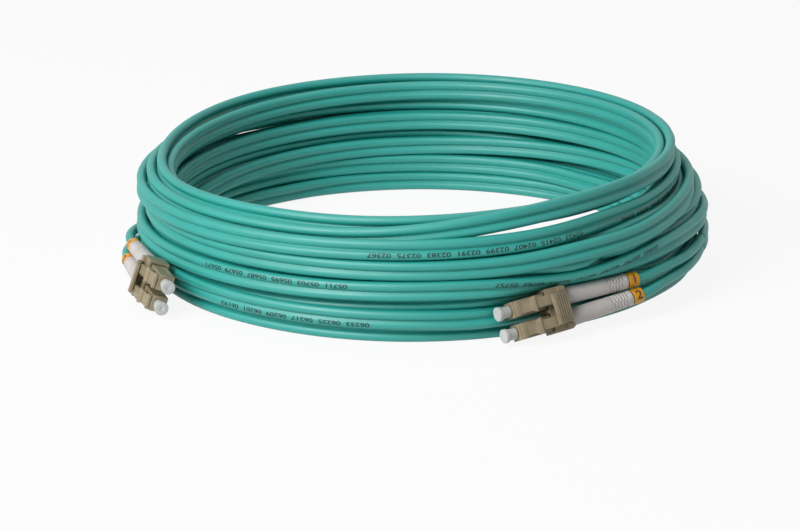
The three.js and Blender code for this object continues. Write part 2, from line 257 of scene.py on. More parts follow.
# The connectors lean on the ring: where each stands about its middle, its turn, how far its boots
# are lifted, how far it leans, and the side on which its first plug lies.
connector_places = {
    "a": ((24.9, -81.0, 6.2), 212.0, 4.5, 25.0, -1),
    "b": ((-72.7, -58.5, 6.9), -73.7, 0.0, 19.0, 1),
}
plug_pitch = 6.25
rear_of_plug = -16.8
toe_in = math.radians(1.9)

# Past its boot each single cord bends to the place where the two join: bearing, distance, height.
leg_routes = {
    "a1": ((-37.0, 84.3, 12.4), (-29.0, 84.3, 12.4), (-21.5, 83.6, 12.1), (-14.6, 82.9, 11.75)),
    "a2": ((-37.0, 85.2, 8.7), (-29.0, 84.9, 9.1), (-21.5, 83.8, 9.0), (-14.6, 82.9, 8.85)),
    "b1": ((183.0, 85.6, 8.4), (172.0, 84.2, 6.2), (161.6, 82.9, 4.35)),
    "b2": ((183.0, 86.5, 3.9), (172.0, 84.9, 2.2), (161.6, 82.9, 1.45)),
}

# It starts inside its boot and runs straight until it is clear of the number ring. The turns keep
# off a rod round each plug with its cap, and off one round each boot.
leg_start = 8.8
leg_clear = 26.2
cap_reach = 5.5
boot_reach = 25.2
plug_berth = 3.1
boot_berth = 2.6

# Every fifty degrees a turn leans by chance to one side or the other. Past each tail the turns come
# free over some degrees. A thing that a slice does not hold lies nowhere near the ring.
lean_spacing = 50.0
lean_most = 0.22
tail_a_ease = 30.0
tail_b_ease = 12.0
nowhere = 1000.0


def around(bearing, distance, height):
    """A point at a bearing in degrees round the ring's middle."""
    angle = math.radians(bearing)
    return Vector((distance * math.cos(angle), distance * math.sin(angle), height))


def connector_frame(end):
    """A connector's own axes: X out of its caps, Y across the pair, Z to its latches."""
    place, yaw, rise, lean, upper = connector_places[end]
    turned = (
        Matrix.Rotation(math.radians(yaw), 4, "Z")
        @ Matrix.Rotation(math.radians(rise), 4, "Y")
        @ Matrix.Rotation(upper * math.radians(90.0 - lean), 4, "X")
    )
    return Matrix.Translation(place) @ turned


def plug_side(tag):
    """The side of its connector, along Y, on which a plug lies."""
    return connector_places[tag[0]][4] * (1 if tag[1] == "1" else -1)


def plug_frame(tag):
    """A plug's own axes, with the middle of its front face at the origin."""
    return connector_frame(tag[0]) @ Matrix.Translation((0.0, plug_side(tag) * plug_pitch / 2, 0.0))


def rear_frame(tag):
    """The axes of a plug's boot, whose front is at the origin and whose cord runs along -X."""
    turned = Matrix.Rotation(plug_side(tag) * toe_in, 4, "Z")
    return plug_frame(tag) @ Matrix.Translation((rear_of_plug, 0.0, 0.0)) @ turned


def leg_points(tag):
    axis = rear_frame(tag)
    straight = [axis @ Vector((-reach, 0.0, 0.0)) for reach in (leg_start, leg_clear)]
    return straight + [around(*point) for point in leg_routes[tag]]


def softened(values, width):
    """The values averaged along the cord over a few steps each way, with both ends kept."""
    reach = int(3 * width)
    weights = np.exp(-0.5 * (np.arange(-reach, reach + 1) / width) ** 2)
    before = 2 * values[0] - values[reach:0:-1]
    after = 2 * values[-1] - values[-2:-reach - 2:-1]
    return np.convolve(np.concatenate([before, values, after]), weights / weights.sum(), "valid")


class Winding:
    """The cord's path as distance, height and lean at even bearings, and how its turns settle apart."""

    def __init__(self):
        start = tail_a[0][0]
        end = tail_b[-1][0] + 360.0 * (turns - 1)
        self.step = 360.0 / steps_per_turn
        self.count = int(round((end - start) / self.step)) + 1
        self.bearing = start + self.step * np.arange(self.count)
        self.bearing[-1] = end
        knots = list(tail_a)
        for turn, row in enumerate(turn_places):
            for bearing, (distance, height) in zip(place_bearings, row):
                if bearing + 360.0 * turn > tail_a[-1][0]:
                    knots.append((bearing + 360.0 * turn, distance, height))
        for turn, places in crossing_places.items():
            knots += [(bearing + 360.0 * turn, distance, height) for bearing, distance, height in places]
        knots += [(bearing + 360.0 * (turns - 1), distance, height) for bearing, distance, height in tail_b]
        knots = np.array(sorted(knots))
        laid = self.bearing - tail_a[-1][0]
        left = tail_b[0][0] + 360.0 * (turns - 1) - self.bearing
        self.free = np.clip(np.minimum(laid / tail_a_ease, left / tail_b_ease), 0.0, 1.0)
        self.distance = self.eased(np.interp(self.bearing, knots[:, 0], knots[:, 1]))
        self.height = self.eased(np.interp(self.bearing, knots[:, 0], knots[:, 2]))
        chance = np.random.default_rng(5)
        leans = np.arange(start, end + lean_spacing, lean_spacing)
        lean = np.interp(self.bearing, leans, chance.uniform(-lean_most, lean_most, len(leans)))
        self.lean = softened(lean, 6.0) * self.free
        self.posts = self.obstacles()

    def eased(self, values):
        """The values softened, less so along the tails, which keep to their own places."""
        return self.free * softened(values, 5.0) + (1.0 - self.free) * softened(values, 2.0)

    def grid(self, values, beyond):
        """Values as one row for each turn, so that a column holds one slice through the ring."""
        padded = np.full(turns * steps_per_turn, float(beyond))
        padded[:self.count] = values
        return padded.reshape(turns, steps_per_turn)

    def obstacles(self):
        """Round things beside the ring, cut at each slice: plugs, boots and single cords."""
        bearings = (self.bearing[0] + self.step * np.arange(steps_per_turn)) % 360.0
        rods = []
        for tag in leg_routes:
            plug = [plug_frame(tag) @ Vector((x, 0.0, 0.0)) for x in (cap_reach, rear_of_plug)]
            boot = [rear_frame(tag) @ Vector((x, 0.0, 0.0)) for x in (0.0, -boot_reach)]
            rods += [(plug, plug_berth), (boot, boot_berth)]
            rods.append((leg_points(tag)[1:], cord_radius))
        posts = np.full((len(rods), 3, steps_per_turn), -nowhere)
        for post, (points, radius) in zip(posts, rods):
            line = np.array(points)
            spots = np.linspace(0.0, len(line) - 1.0, 40 * len(line))
            line = np.array([np.interp(spots, np.arange(len(line)), line[:, axis]) for axis in range(3)])
            where = np.degrees(np.arctan2(line[1], line[0])) % 360.0
            order = np.argsort(where)
            cut = (bearings >= where.min()) & (bearings <= where.max())
            post[0, cut] = np.interp(bearings[cut], where[order], np.hypot(line[0], line[1])[order])
            post[1, cut] = np.interp(bearings[cut], where[order], line[2][order])
            post[2] = radius
        return posts

    def settle(self, rounds, memory):
        """Moves the turns apart wherever their lobes meet, with a pull back to where they were laid.

        Each push is softened along the cord over a width in steps, and only a share of it is taken.
        """
        home = (self.distance.copy(), self.height.copy(), self.lean.copy())
        widths = (2.2, 3.0, 3.0)
        shares = (0.6, 0.6, 0.36)
        above, below = np.triu_indices(turns, 1)
        free = self.grid(self.free, 0.0)
        beyond = self.grid(np.zeros(self.count), 1.0) * 100.0 * np.arange(1, turns + 1)[:, None]
        share = free[above] + free[below] + 1e-9
        for _ in range(rounds):
            lean = self.grid(self.lean, 0.0)
            lobes = np.array([1.0, -1.0])[:, None, None]
            out = self.grid(self.distance, 0.0) + lobes * lobe_offset * np.sin(lean)
            up = self.grid(self.height, 5 * nowhere) + beyond + lobes * lobe_offset * np.cos(lean)
            push_out = np.zeros_like(out)
            push_up = np.zeros_like(up)
            for one in (0, 1):
                for other in (0, 1):
                    apart_out = out[one][above] - out[other][below]
                    apart_up = up[one][above] - up[other][below]
                    apart = np.hypot(apart_out, apart_up) + 1e-9
                    overlap = np.clip(2.0 * cord_radius - apart, 0.0, None) / apart / share
                    np.add.at(push_out[one], above, apart_out * overlap * free[above])
                    np.add.at(push_up[one], above, apart_up * overlap * free[above])
                    np.add.at(push_out[other], below, -apart_out * overlap * free[below])
                    np.add.at(push_up[other], below, -apart_up * overlap * free[below])
            for post_out, post_up, radius in self.posts:
                reach = cord_radius + radius
                wall = post_out - np.sqrt(np.clip(reach ** 2 - (up - post_up) ** 2, 0.0, None))
                push_out -= np.clip(out - wall, 0.0, None) * (np.abs(up - post_up) < reach)
            push_up += np.clip(cord_radius - up, 0.0, None)
            push_out -= np.clip(out - ring_reach, 0.0, None)
            twist = (push_out[0] - push_out[1]) * np.cos(lean) - (push_up[0] - push_up[1]) * np.sin(lean)
            moved = {
                "distance": push_out.mean(0), "height": push_up.mean(0), "lean": 0.5 * twist / lobe_offset,
            }
            for (name, push), start, width, part in zip(moved.items(), home, widths, shares):
                value = getattr(self, name)
                push = softened(push.ravel()[:self.count], width) * part + memory * (start - value)
                setattr(self, name, value + push * self.free)


ring_reach = 82.8
winding = Winding()
winding.settle(250, 0.01)
winding.settle(200, 0.0)


def lofted(name, sections, rounds, finish, looped=False):
    """A closed skin over a row of sections, each a loop of points, with a map along it and round it.

    Its two ends are closed with flat fans, or, where it is looped, its last section meets its first.
    """
    sections = np.asarray(sections)
    count, sides = sections.shape[:2]
    ends = [] if looped else [sections[0].mean(0), sections[-1].mean(0)]
    faces = []
    for ring in range(count if looped else count - 1):
        here, there = ring * sides, (ring + 1) % count * sides
        for side in range(sides):
            after = (side + 1) % sides
            faces.append((here + side, here + after, there + after, there + side))
    first_middle = count * sides
    for side in range(0 if looped else sides):
        after = (side + 1) % sides
        faces.append((first_middle, after, side))
        faces.append((first_middle + 1, (count - 1) * sides + side, (count - 1) * sides + after))
    mesh = bpy.data.meshes.new(name)
    mesh.from_pydata([tuple(p) for p in sections.reshape(-1, 3)] + [tuple(p) for p in ends], [], faces)
    length = np.concatenate([[0.0], np.cumsum(np.linalg.norm(np.diff(sections.mean(1), axis=0), axis=1))])
    uv = mesh.uv_layers.new(name="UVMap")

    def crosses_seam(polygon):
        return any(mesh.loops[k].vertex_index % sides == sides - 1 for k in polygon.loop_indices)

    for polygon in mesh.polygons:
        for loop in polygon.loop_indices:
            vertex = mesh.loops[loop].vertex_index
            ring, side = divmod(min(vertex, first_middle - 1), sides)
            turned = 1.0 if side == 0 and crosses_seam(polygon) else rounds[side]
            uv.data[loop].uv = (length[ring], turned)
    mesh.polygons.foreach_set("use_smooth", [True] * len(mesh.polygons))
    mesh.materials.append(finish)
    return set_out(name, mesh)


def even_shares(sides):
    """How far round a skin each of its even sides lies, as a share of the whole way."""
    return np.linspace(0.0, 1.0, sides, endpoint=False)


lobe_points = 12


def duplex_section():
    """The outline of the duplex cord: across it and up it, round both lobes."""
    cusp = math.asin(web_half / cord_radius)
    outline = []
    for lobe in (1, -1):
        for turned in np.linspace(cusp, 2 * math.pi - cusp, lobe_points):
            across = lobe * cord_radius * math.sin(turned)
            outline.append((across, lobe * (lobe_offset - cord_radius * math.cos(turned))))
    return np.array(outline)


def duplex_sections(path):
    """The cord's outline at every step of a winding, in metres in the part's frame."""
    angle = np.radians(path.bearing)
    outwards = np.stack([np.cos(angle), np.sin(angle), np.zeros_like(angle)], 1)
    middle = outwards * path.distance[:, None]
    middle[:, 2] = np.maximum(path.height, lobe_offset + cord_radius)
    ahead = np.gradient(middle, axis=0)
    ahead /= np.linalg.norm(ahead, axis=1)[:, None]
    upwards = outwards * np.sin(path.lean)[:, None]
    upwards[:, 2] = np.cos(path.lean)
    across = np.cross(ahead, upwards)
    across /= np.linalg.norm(across, axis=1)[:, None]
    upwards = np.cross(across, ahead)
    outline = duplex_section()[None]
    rings = middle[:, None] + outline[..., 0:1] * across[:, None] + outline[..., 1:2] * upwards[:, None]
    return rings * 0.001 + np.array(coil_centre), middle * 0.001 + np.array(coil_centre)


rings, middle_line = duplex_sections(winding)
duplex_cord = lofted("duplex_cord", rings, even_shares(2 * lobe_points), aqua_jacket)
duplex_length = float(np.linalg.norm(np.diff(middle_line, axis=0), axis=1).sum())
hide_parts("cord_coil", "cord_tail_a", "cord_tail_b")
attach(duplex_cord, "root")
tuple(middle_line[0])
[tuple(p) for p in middle_line]


# ---- length marks -----------------------------------------------------------------------------
# The distance from the cord's first end in millimetres, printed in dark ink along one lobe of the
# jacket, so that a length can be read off it. The printed side faces out on a few turns only.
gloss_spread = 0.06
grain_strength = 0.35


def plain_finish(name, low, high, roughness, grain_size, grain_depth, patches_per_metre=300.0, **constants):
    """A moulded finish: two close tones in patches, an uneven gloss and a fine grain."""
    made = Finish(name, **constants)
    patches = made.noise("Object", (patches_per_metre,) * 3)
    made.give("Base Color", made.mixed(made.spread(patches, 0.0, 1.0), rgb(low), rgb(high)))
    made.give("Roughness", made.spread(patches, roughness - gloss_spread, roughness + gloss_spread))
    grain = made.noise("Object", (1.0 / grain_size,) * 3)
    made.give("Normal", made.bump(grain, grain_strength, grain_depth))
    return made.material


numeral_strip = 0.12


def numeral(text, height, thickness, weight):
    """A printed numeral lying flat, x along its line and y up it, cut into strips so that it can wrap."""
    curve = bpy.data.curves.new("numeral", "FONT")
    curve.body = text
    curve.size = height
    curve.align_x = "CENTER"
    curve.align_y = "CENTER"
    curve.extrude = thickness
    curve.offset = weight
    holder = set_out("numeral", curve)
    flat = bpy.data.meshes.new_from_object(holder.evaluated_get(bpy.context.evaluated_depsgraph_get()))
    bpy.data.objects.remove(holder)
    shape = bmesh.new()
    shape.from_mesh(flat)
    bpy.data.meshes.remove(flat)
    bmesh.ops.remove_doubles(shape, verts=shape.verts, dist=1e-5)
    for level in np.arange(-0.5, 0.5, numeral_strip) * height:
        whole = shape.verts[:] + shape.edges[:] + shape.faces[:]
        bmesh.ops.bisect_plane(shape, geom=whole, plane_co=(0, level, 0), plane_no=(0, 1, 0))
    bmesh.ops.triangulate(shape, faces=shape.faces)
    return shape


def printed(piece, marks, finish):
    """Adds marks, each a numeral and the function that wraps it on, to a piece as its second finish."""
    ink_slot = len(piece.data.materials)
    piece.data.materials.append(finish)
    whole = bmesh.new()
    whole.from_mesh(piece.data)
    for mark, wrap in marks:
        for face in mark.faces:
            face.material_index = ink_slot
        for vertex in mark.verts:
            vertex.co = wrap(*vertex.co)
        bmesh.ops.recalc_face_normals(mark, faces=mark.faces)
        flat = bpy.data.meshes.new("mark")
        mark.to_mesh(flat)
        mark.free()
        whole.from_mesh(flat)
        bpy.data.meshes.remove(flat)
    whole.to_mesh(piece.data)
    whole.free()


jacket_ink = plain_finish("jacket_ink", "0a2422", "123532", 0.45, 0.0003, 0.00001)
mark_height = 1.8
mark_stretch = 1.45
mark_pitch = 8.0
mark_ink_thickness = 0.02
mark_weight = 0.03
mark_turn = math.radians(8.0)

# The stretches whose print shows: the turn, its first and last bearing, and the lobe that is printed.
printed_stretches = (
    (4, 262.0, 303.0, -1), (11, 226.0, 254.0, 1), (11, 286.0, 322.0, 1), (12, 230.0, 262.0, -1),
    (4, 318.0, 350.0, -1), (18, 246.0, 272.0, 1), (11, 146.0, 170.0, 1),
)


def duplex_place(run):
    """The cord's middle at a length from its first end, with the ways out of the ring and up the cord."""
    def at_run(values):
        return np.array([np.interp(run, cord_run, values[:, axis]) for axis in range(3)])

    return [at_run(values) for values in cord_frames]


def length_mark(run, lobe):
    """A number on the outer side of one lobe, upside down to whoever looks from outside."""
    def wrap(x, y, z):
        middle, outwards, upwards = duplex_place(run - x * mark_stretch * 0.001)
        turn = mark_turn - y / cord_radius
        out = (cord_radius + z) * 0.001
        spot = middle + lobe * lobe_offset * 0.001 * upwards
        return Vector(spot + out * (math.cos(turn) * outwards + math.sin(turn) * upwards))

    return numeral(f"{round(run * 1000):05d}", mark_height, mark_ink_thickness, mark_weight), wrap


cord_run = np.concatenate([[0.0], np.cumsum(np.linalg.norm(np.diff(middle_line, axis=0), axis=1))])
lobe_up = rings[:, :lobe_points].mean(1) - rings[:, lobe_points:].mean(1)
lobe_up /= np.linalg.norm(lobe_up, axis=1)[:, None]
ring_out = middle_line - np.array(coil_centre)
ring_out[:, 2] = 0.0
ring_out -= lobe_up * (ring_out * lobe_up).sum(1)[:, None]
ring_out /= np.linalg.norm(ring_out, axis=1)[:, None]
cord_frames = (middle_line, ring_out, lobe_up)
length_marks = []
for turn, low, high, lobe in printed_stretches:
    first, last = np.interp((low + 360.0 * turn, high + 360.0 * turn), winding.bearing, cord_run)
    for run in np.arange(first, last, mark_pitch * 0.001):
        length_marks.append(length_mark(run, lobe))
printed(duplex_cord, length_marks, jacket_ink)


# ---- single cords -----------------------------------------------------------------------------
# Past the split each half of the duplex cord runs on alone to its own plug, six centimetres away.
# It is one extruded cord in the same jacket, and laps a little into the duplex cord at the split.
def bent(points, count):
    """A smooth line through a few points, with even steps."""
    points = [Vector(p) for p in points]
    padded = [2 * points[0] - points[1]] + points + [2 * points[-1] - points[-2]]
    line = []
    for k in range(1, len(padded) - 2):
        p0, p1, p2, p3 = padded[k - 1:k + 3]
        for t in np.linspace(0.0, 1.0, 40, endpoint=False):
            line.append(0.5 * (2 * p1 + (p2 - p0) * t + (2 * p0 - 5 * p1 + 4 * p2 - p3) * t * t
                               + (3 * p1 - p0 - 3 * p2 + p3) * t ** 3))
    line = np.array([tuple(p) for p in line + [points[-1]]])
    run = np.concatenate([[0.0], np.cumsum(np.linalg.norm(np.diff(line, axis=0), axis=1))])
    spots = np.linspace(0.0, run[-1], count)
    return np.stack([np.interp(spots, run, line[:, axis]) for axis in range(3)], 1)


def round_sections(line, radius, sides):
    ahead = np.gradient(line, axis=0)
    ahead /= np.linalg.norm(ahead, axis=1)[:, None]
    upwards = np.array([0.0, 0.0, 1.0]) - ahead * ahead[:, 2:3]
    upwards /= np.linalg.norm(upwards, axis=1)[:, None]
    across = np.cross(ahead, upwards)
    turned = np.linspace(0.0, 2 * math.pi, sides, endpoint=False)
    return line[:, None] + radius * (
        np.sin(turned)[None, :, None] * across[:, None] + np.cos(turned)[None, :, None] * upwards[:, None]
    )


split_lap = 0.6
leg_radius = 0.00139
leg_sides = 24
leg_steps = 36

for tag in leg_routes:
    line = bent(leg_points(tag), leg_steps) * 0.001 + np.array(coil_centre)
    line = np.vstack([line, line[-1] + split_lap * (line[-1] - line[-2])])
    sections = round_sections(line, leg_radius, leg_sides)
    leg = lofted("single_cord_" + tag, sections, even_shares(leg_sides), aqua_jacket)
    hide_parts("cord_leg_" + tag)
    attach(leg, "root")


# ---- number rings -----------------------------------------------------------------------------
# A yellow ring clipped round each single cord behind its boot, printed with a dark 1 or 2 so that
# the two cords of an end are told apart. Moulded plastic, with rounded rims.
def eased_profile(profile, looped, ease):
    """A profile of places and radii with each corner cut by a small curve."""
    points = [Vector(p) for p in profile]
    made = []
    for k, corner in enumerate(points):
        if not looped and k in (0, len(points) - 1):
            made.append(corner)
            continue
        before = points[k - 1] - corner
        after = points[(k + 1) % len(points)] - corner
        start = corner + before.normalized() * min(ease, 0.4 * before.length)
        end = corner + after.normalized() * min(ease, 0.4 * after.length)
        for t in (0.0, 0.33, 0.67, 1.0):
            made.append((1 - t) ** 2 * start + 2 * t * (1 - t) * corner + t * t * end)
    return made


def placed(rings, axes):
    """Points on a connector's own axes, in millimetres, as metres in the part's frame."""
    turned = np.array(axes.to_3x3())
    return (np.asarray(rings) @ turned.T + np.array(axes.translation)) * 0.001 + np.array(coil_centre)


def revolved(name, profile, sides, finish, axes, looped=True, ease=0.12):
    """A piece turned round the x axis from a profile of places and radii."""
    spin = np.linspace(0.0, 2 * math.pi, sides, endpoint=False)
    outline = eased_profile(profile, looped, ease)
    rings = [[(x, r * math.sin(a), r * math.cos(a)) for a in spin] for x, r in outline]
    return lofted(name, placed(rings, axes), spin / (2 * math.pi), finish, looped)


def stands_for(piece, node, body):
    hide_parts(node)
    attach(piece, body)


yellow_plastic = plain_finish("yellow_plastic", "d08f08", "dda110", 0.38, 0.0003, 0.00002)
ring_ink = plain_finish("ring_ink", "3c120c", "4c1a12", 0.5, 0.0003, 0.00001)
boot_length = 21.5
ring_gap = 0.3
ring_width = 3.4
ring_front = -boot_length - ring_gap
ring_rear = ring_front - ring_width
ring_radius = 2.15
ring_ease = 0.28
cord_bore = cord_radius + 0.35
numeral_height = 3.7
numeral_weight = 0.07
ink_thickness = 0.03


def ring_mark(tag):
    """A ring's numeral, upright as the connector lies and facing out over its latches."""
    upper = connector_places[tag[0]][4]
    axes = rear_frame(tag)

    def wrap(x, y, z):
        turn = upper * y / ring_radius
        out = ring_radius + z
        spot = Vector(((ring_front + ring_rear) / 2 + upper * x, out * math.sin(turn), out * math.cos(turn)))
        return (axes @ spot) * 0.001 + coil_centre

    return numeral(tag[1], numeral_height, ink_thickness, numeral_weight), wrap


for tag in leg_routes:
    ring = revolved("number_ring_" + tag + "_fine", (
        (ring_rear, cord_bore), (ring_rear, ring_radius), (ring_front, ring_radius), (ring_front, cord_bore),
    ), 64, yellow_plastic, rear_frame(tag), ease=ring_ease)
    printed(ring, [ring_mark(tag)], ring_ink)
    stands_for(ring, "number_ring_" + tag, "root")


# ---- boots ------------------------------------------------------------------------------------
# A soft white sleeve pushed over the crimp, which keeps the cord from kinking. Towards its rear
# staggered slots are moulded into it so that it bends, and its mouth is rolled.
white_rubber = plain_finish("white_rubber", "bfbab6", "cdc8c5", 0.5, 0.0004, 0.00004, 200.0)
boot_front_radius = 2.55
boot_rear_radius = 2.2
crimp_hollow = 2.0
crimp_hollow_depth = 8.7
mouth_length = 1.75
slot_depth = 0.32
slot_width = 0.56
slot_pitch = 0.51
slot_rows = 11
slot_reach = math.radians(80.0)


def boot_rings():
    """The boot's skin: out along it over the slots, round the mouth and back through the bore."""
    spin = np.linspace(0.0, 2 * math.pi, 96, endpoint=False)
    rows = []

    def row(x, radius):
        radius = radius + np.zeros_like(spin)
        rows.append(np.stack([x + np.zeros_like(spin), radius * np.sin(spin), radius * np.cos(spin)], 1))

    slots_end = -boot_length + mouth_length
    for x, inset in ((0.0, 0.25), (-0.06, 0.1), (-0.25, 0.0), (-0.9, 0.0)):
        row(x, boot_front_radius - inset)
    for x in np.concatenate([np.arange(-2.0, -14.0, -1.0), np.arange(-14.2, slots_end - 0.3, -0.085)]):
        share = -x / boot_length
        surface = boot_front_radius + (boot_rear_radius - boot_front_radius) * share
        depth = np.zeros_like(spin)
        for k in range(slot_rows):
            middle = slots_end + k * slot_pitch
            turned_to = math.radians(45.0 if k % 2 else -45.0)
            for side in (0.0, math.pi):
                off = np.abs((spin - turned_to - side + math.pi) % (2 * math.pi) - math.pi)
                across = np.clip((slot_reach / 2 + 0.06 - off) / 0.12, 0.0, 1.0)
                along = np.clip((slot_width / 2 - abs(x - middle)) / 0.1, 0.0, 1.0)
                depth = np.maximum(depth, slot_depth * across * along)
        row(x, surface - depth)
    for past, inset in ((0.6, 0.0), (0.25, 0.01), (0.08, 0.07), (0.0, 0.2)):
        row(past - boot_length, boot_rear_radius - inset)
    for x, radius in ((-boot_length, cord_bore), (-crimp_hollow_depth - 0.2, cord_bore),
                      (-crimp_hollow_depth, crimp_hollow), (0.0, crimp_hollow)):
        row(x, radius)
    return rows, spin / (2 * math.pi)


boot_skin, boot_rounds = boot_rings()
for tag in leg_routes:
    skin = placed(boot_skin, rear_frame(tag))
    boot = lofted("boot_" + tag + "_fine", skin, boot_rounds, white_rubber, looped=True)
    stands_for(boot, "boot_" + tag, "root")


# ---- inside each plug -------------------------------------------------------------------------
# From the rear: a brass crimp sleeve grips the cord's yarn on the tail of the plastic backbone,
# which closes in a steel spring. The spring pushes on the metal flange that holds the white
# ceramic ferrule, and the buffered fibre runs through them all.
brass = plain_finish("brass", "b9904a", "d0aa66", 0.3, 0.0002, 0.00002, Metallic=1.0)
steel = plain_finish("steel", "a9acb0", "c6c9cc", 0.3, 0.0002, 0.00002, Metallic=1.0)
zirconia = plain_finish("zirconia", "f0ece2", "f8f6f0", 0.14, 0.0001, 0.000002)
white_buffer = plain_finish("white_buffer", "e6e2d2", "f2f0e6", 0.45, 0.0002, 0.00001)
beige_plastic = plain_finish("beige_plastic", "8d8066", "9e9277", 0.4, 0.00025, 0.00003, 260.0)
crimp_rear, crimp_front = -8.4, -0.6
crimp_bands = 6
band_pitch = 0.9
band_depth = 0.1
sleeve_radius = 1.7
tail_radius = 1.1
bore_radius = 1.7
body_radius = bore_radius - 0.3
groove_radius = bore_radius - 0.5
fibre_bore = 0.75
buffer_radius = 0.45
ferrule_radius = 0.625
ferrule_tip = 3.4
ferrule_rear = -5.1
flange_front, flange_rear = -2.9, -5.9
flange_radius = 1.4
flange_neck_radius = 1.2
flange_bore = ferrule_radius + 0.3
spring_front = -6.4
spring_length = 4.6
spring_radius = 1.1
spring_wire = 0.17
spring_turns = 5
spring_steps = 24
wire_sides = 10
backbone_front = -11.5
backbone_shoulder = -15.5
backbone_rear = -20.1
fibre_rear = -23.9


def wound_spring():
    """A spring wound by geometry nodes: round wire on a helix up the z axis, made a plain mesh."""
    tree = bpy.data.node_groups.new("wound_spring", "GeometryNodeTree")
    sizes = {"Turns": spring_turns, "Radius": spring_radius, "Length": spring_length, "Wire": spring_wire}
    inputs = {
        name: tree.interface.new_socket(name, in_out="INPUT", socket_type="NodeSocketFloat") for name in sizes
    }
    tree.interface.new_socket("Geometry", in_out="OUTPUT", socket_type="NodeSocketGeometry")
    bench = Board(tree)
    given = bench.node("NodeGroupInput")
    radius = bench.wire(given, "Radius")
    helix = bench.node("GeometryNodeCurveSpiral", {}, {
        "Resolution": spring_steps, "Rotations": bench.wire(given, "Turns"), "Start Radius": radius,
        "End Radius": radius, "Height": bench.wire(given, "Length"),
    })
    section = bench.node("GeometryNodeCurvePrimitiveCircle", {}, {
        "Resolution": wire_sides, "Radius": bench.wire(given, "Wire"),
    })
    wire = bench.node("GeometryNodeCurveToMesh", {}, {
        "Curve": bench.wire(helix, "Curve"), "Profile Curve": bench.wire(section, "Curve"), "Fill Caps": True,
    })
    real = bench.node("GeometryNodeRealizeInstances", {}, {"Geometry": bench.wire(wire, "Mesh")})
    dressed = bench.node("GeometryNodeSetMaterial", {}, {
        "Geometry": bench.wire(real, "Geometry"), "Material": steel,
    })
    bench.node("NodeGroupOutput", {}, {"Geometry": bench.wire(dressed, "Geometry")})
    holder = set_out("wound_spring", bpy.data.meshes.new("blank"))
    winder = holder.modifiers.new("winder", "NODES")
    winder.node_group = tree
    for name, size in sizes.items():
        winder[inputs[name].identifier] = float(size)
    mesh = bpy.data.meshes.new_from_object(holder.evaluated_get(bpy.context.evaluated_depsgraph_get()))
    bpy.data.objects.remove(holder)
    mesh.polygons.foreach_set("use_smooth", [True] * len(mesh.polygons))
    return mesh


spring_mesh = wound_spring()

# The helix's x, y and z lie along the plug's Y, its -Z and its -X.
spring_lie = Matrix(((0, 0, -1, spring_front), (1, 0, 0, 0), (0, -1, 0, 0), (0, 0, 0, 1)))

for tag in leg_routes:
    plug, rear = plug_frame(tag), rear_frame(tag)
    crimp = [(crimp_rear, tail_radius + 0.3), (crimp_rear, sleeve_radius)]
    for k in range(crimp_bands):
        band = crimp_rear + 1.5 + k * band_pitch
        for past, depth in ((0.0, 0.0), (0.1, band_depth), (0.35, band_depth), (0.45, 0.0)):
            crimp.append((band + past, sleeve_radius - depth))
    crimp += [(crimp_front, sleeve_radius), (crimp_front, tail_radius + 0.3)]
    piece = revolved("crimp_sleeve_" + tag + "_fine", crimp, 32, brass, rear, ease=0.05)
    stands_for(piece, "crimp_sleeve_" + tag, "root")

    piece = revolved("backbone_" + tag + "_fine", (
        (backbone_rear, fibre_bore), (backbone_rear, tail_radius), (backbone_shoulder, tail_radius),
        (backbone_shoulder, body_radius), (backbone_front - 1.6, body_radius),
        (backbone_front - 1.6, groove_radius), (backbone_front - 1.1, groove_radius),
        (backbone_front - 1.1, body_radius), (backbone_front, body_radius), (backbone_front, fibre_bore),
    ), 32, beige_plastic, plug, ease=0.1)
    stands_for(piece, "backbone_" + tag, "root")

    piece = set_out("ferrule_spring_" + tag + "_fine", spring_mesh.copy())
    piece.data.transform(Matrix.Translation(coil_centre) @ Matrix.Scale(0.001, 4) @ plug @ spring_lie)
    moving = "ferrule_" + tag
    spring_ends = placed([(spring_front - spring_length, 0.0, 0.0), (spring_front, 0.0, 0.0)], plug)
    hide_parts("ferrule_spring_" + tag)
    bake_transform(piece)

    piece = revolved("ferrule_flange_" + tag + "_fine", (
        (flange_rear, fibre_bore), (flange_rear, flange_neck_radius),
        (flange_front - 1.6, flange_neck_radius), (flange_front - 1.3, flange_radius),
        (flange_front, flange_radius), (flange_front, flange_bore),
        (ferrule_rear - 0.3, flange_bore), (ferrule_rear - 0.3, fibre_bore),
    ), 40, steel, plug, ease=0.08)
    stands_for(piece, "ferrule_flange_" + tag, moving)

    piece = revolved("ferrule_" + tag + "_fine", (
        (ferrule_rear, 0.06), (ferrule_rear, ferrule_radius), (ferrule_tip - 0.35, ferrule_radius),
        (ferrule_tip - 0.08, 0.42), (ferrule_tip, 0.06),
    ), 40, zirconia, plug, looped=False, ease=0.08)
    stands_for(piece, moving, moving)

    fibre_front = ferrule_rear - 0.5
    piece = revolved("buffered_fibre_" + tag + "_fine", (
        (fibre_rear, 0.1), (fibre_rear, buffer_radius), (fibre_front, buffer_radius), (fibre_front, 0.1),
    ), 20, white_buffer, plug, looped=False, ease=0.05)
    stands_for(piece, "buffered_fibre_" + tag, moving)


